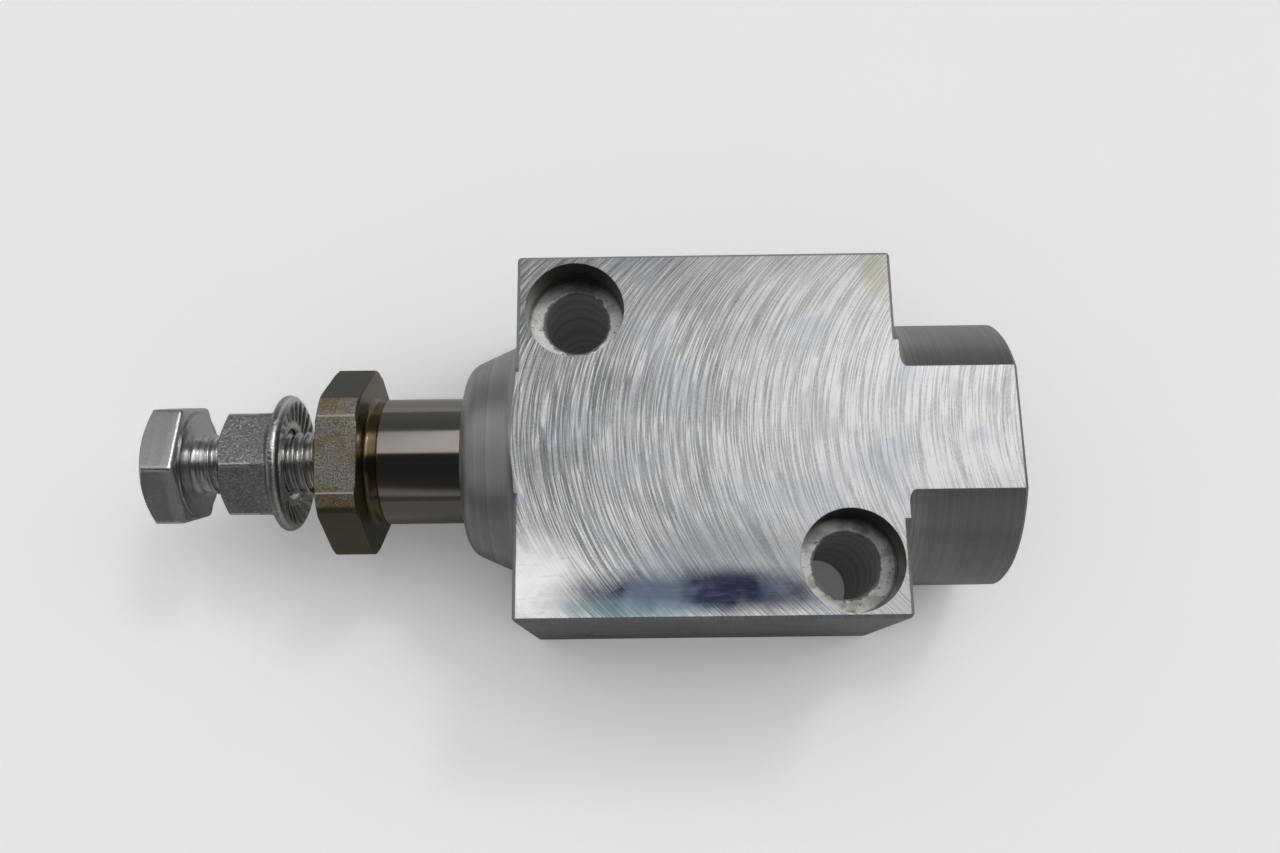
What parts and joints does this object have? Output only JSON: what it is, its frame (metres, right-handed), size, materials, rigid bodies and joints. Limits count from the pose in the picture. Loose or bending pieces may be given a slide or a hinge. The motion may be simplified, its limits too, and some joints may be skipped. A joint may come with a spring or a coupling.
{
  "type": "hydraulic plunger valve",
  "caption": "Steel block valve with a threaded inlet boss, a face-sealed outlet and a spring-returned push plunger that carries a lockable striker bolt.",
  "frame": {"origin": "centre of the block's mounting face, where the outlet port opens", "axes": "+X along the plunger from the striker towards the port boss, +Y across the block, +Z out of the front face"},
  "size_m": [0.1325, 0.0544, 0.037],
  "materials": {
    "zinc_steel_block": "face-milled and clear zinc plated, satin",
    "oxide_steel": "ground stem, brown heat oxide on the hexagon",
    "zinc_bolt": "bright clear zinc",
    "zinc_nut": "forged, blue zinc",
    "bright_steel": "ground",
    "spring_steel": "oil-tempered wire",
    "phosphated_steel": "phosphated, matt",
    "cage_steel": "turned, zinc phosphate",
    "bronze": "bored bearing bronze",
    "ptfe": "waxy matt",
    "polyurethane_green": "satin",
    "polyurethane_blue": "satin",
    "nitrile_rubber": "satin"
  },
  "bodies": {
    "housing": {"valve_body": "zinc_steel_block", "wiper_ring": "polyurethane_green", "backup_ring": "ptfe", "rod_seal": "polyurethane_blue", "guide_bush": "bronze", "return_spring": "spring_steel", "spring_washer": "bright_steel", "valve_seat": "bright_steel", "seat_o_ring": "nitrile_rubber", "seat_backup_ring": "ptfe", "poppet_spring": "spring_steel", "poppet_cage": "cage_steel", "cage_snap_ring": "phosphated_steel", "face_o_ring": "nitrile_rubber"},
    "plunger_set": {"plunger": "oxide_steel", "stop_ring": "bright_steel", "tail_snap_ring": "phosphated_steel", "push_pin": "bright_steel"},
    "poppet_set": {"poppet": "bright_steel"},
    "striker": {"adjusting_bolt": "zinc_bolt"},
    "locking": {"lock_nut": "zinc_nut"}
  },
  "joints": [
    {"name": "plunger_slide", "type": "slide", "parent": "housing", "child": "plunger_set", "axis": [1, 0, 0], "range_m": [0, 0.006], "stiffness_N_per_m": 3500, "springref_m": -0.008, "deforming": ["return_spring"]},
    {"name": "poppet_lift", "type": "slide", "parent": "housing", "child": "poppet_set", "axis": [1, 0, 0], "range_m": [0, 0.0045], "deforming": ["poppet_spring"]},
    {"name": "striker_adjust", "type": "slide", "parent": "plunger_set", "child": "striker", "axis": [1, 0, 0], "range_m": [-0.0075, 0.003]},
    {"name": "lock_nut_run", "type": "slide", "parent": "plunger_set", "child": "locking", "axis": [1, 0, 0], "range_m": [-0.0022, 0.00645]}
  ],
  "couplings": [
    {"joint": "poppet_lift", "follows": "plunger_slide", "ratio": 0.75}
  ]
}
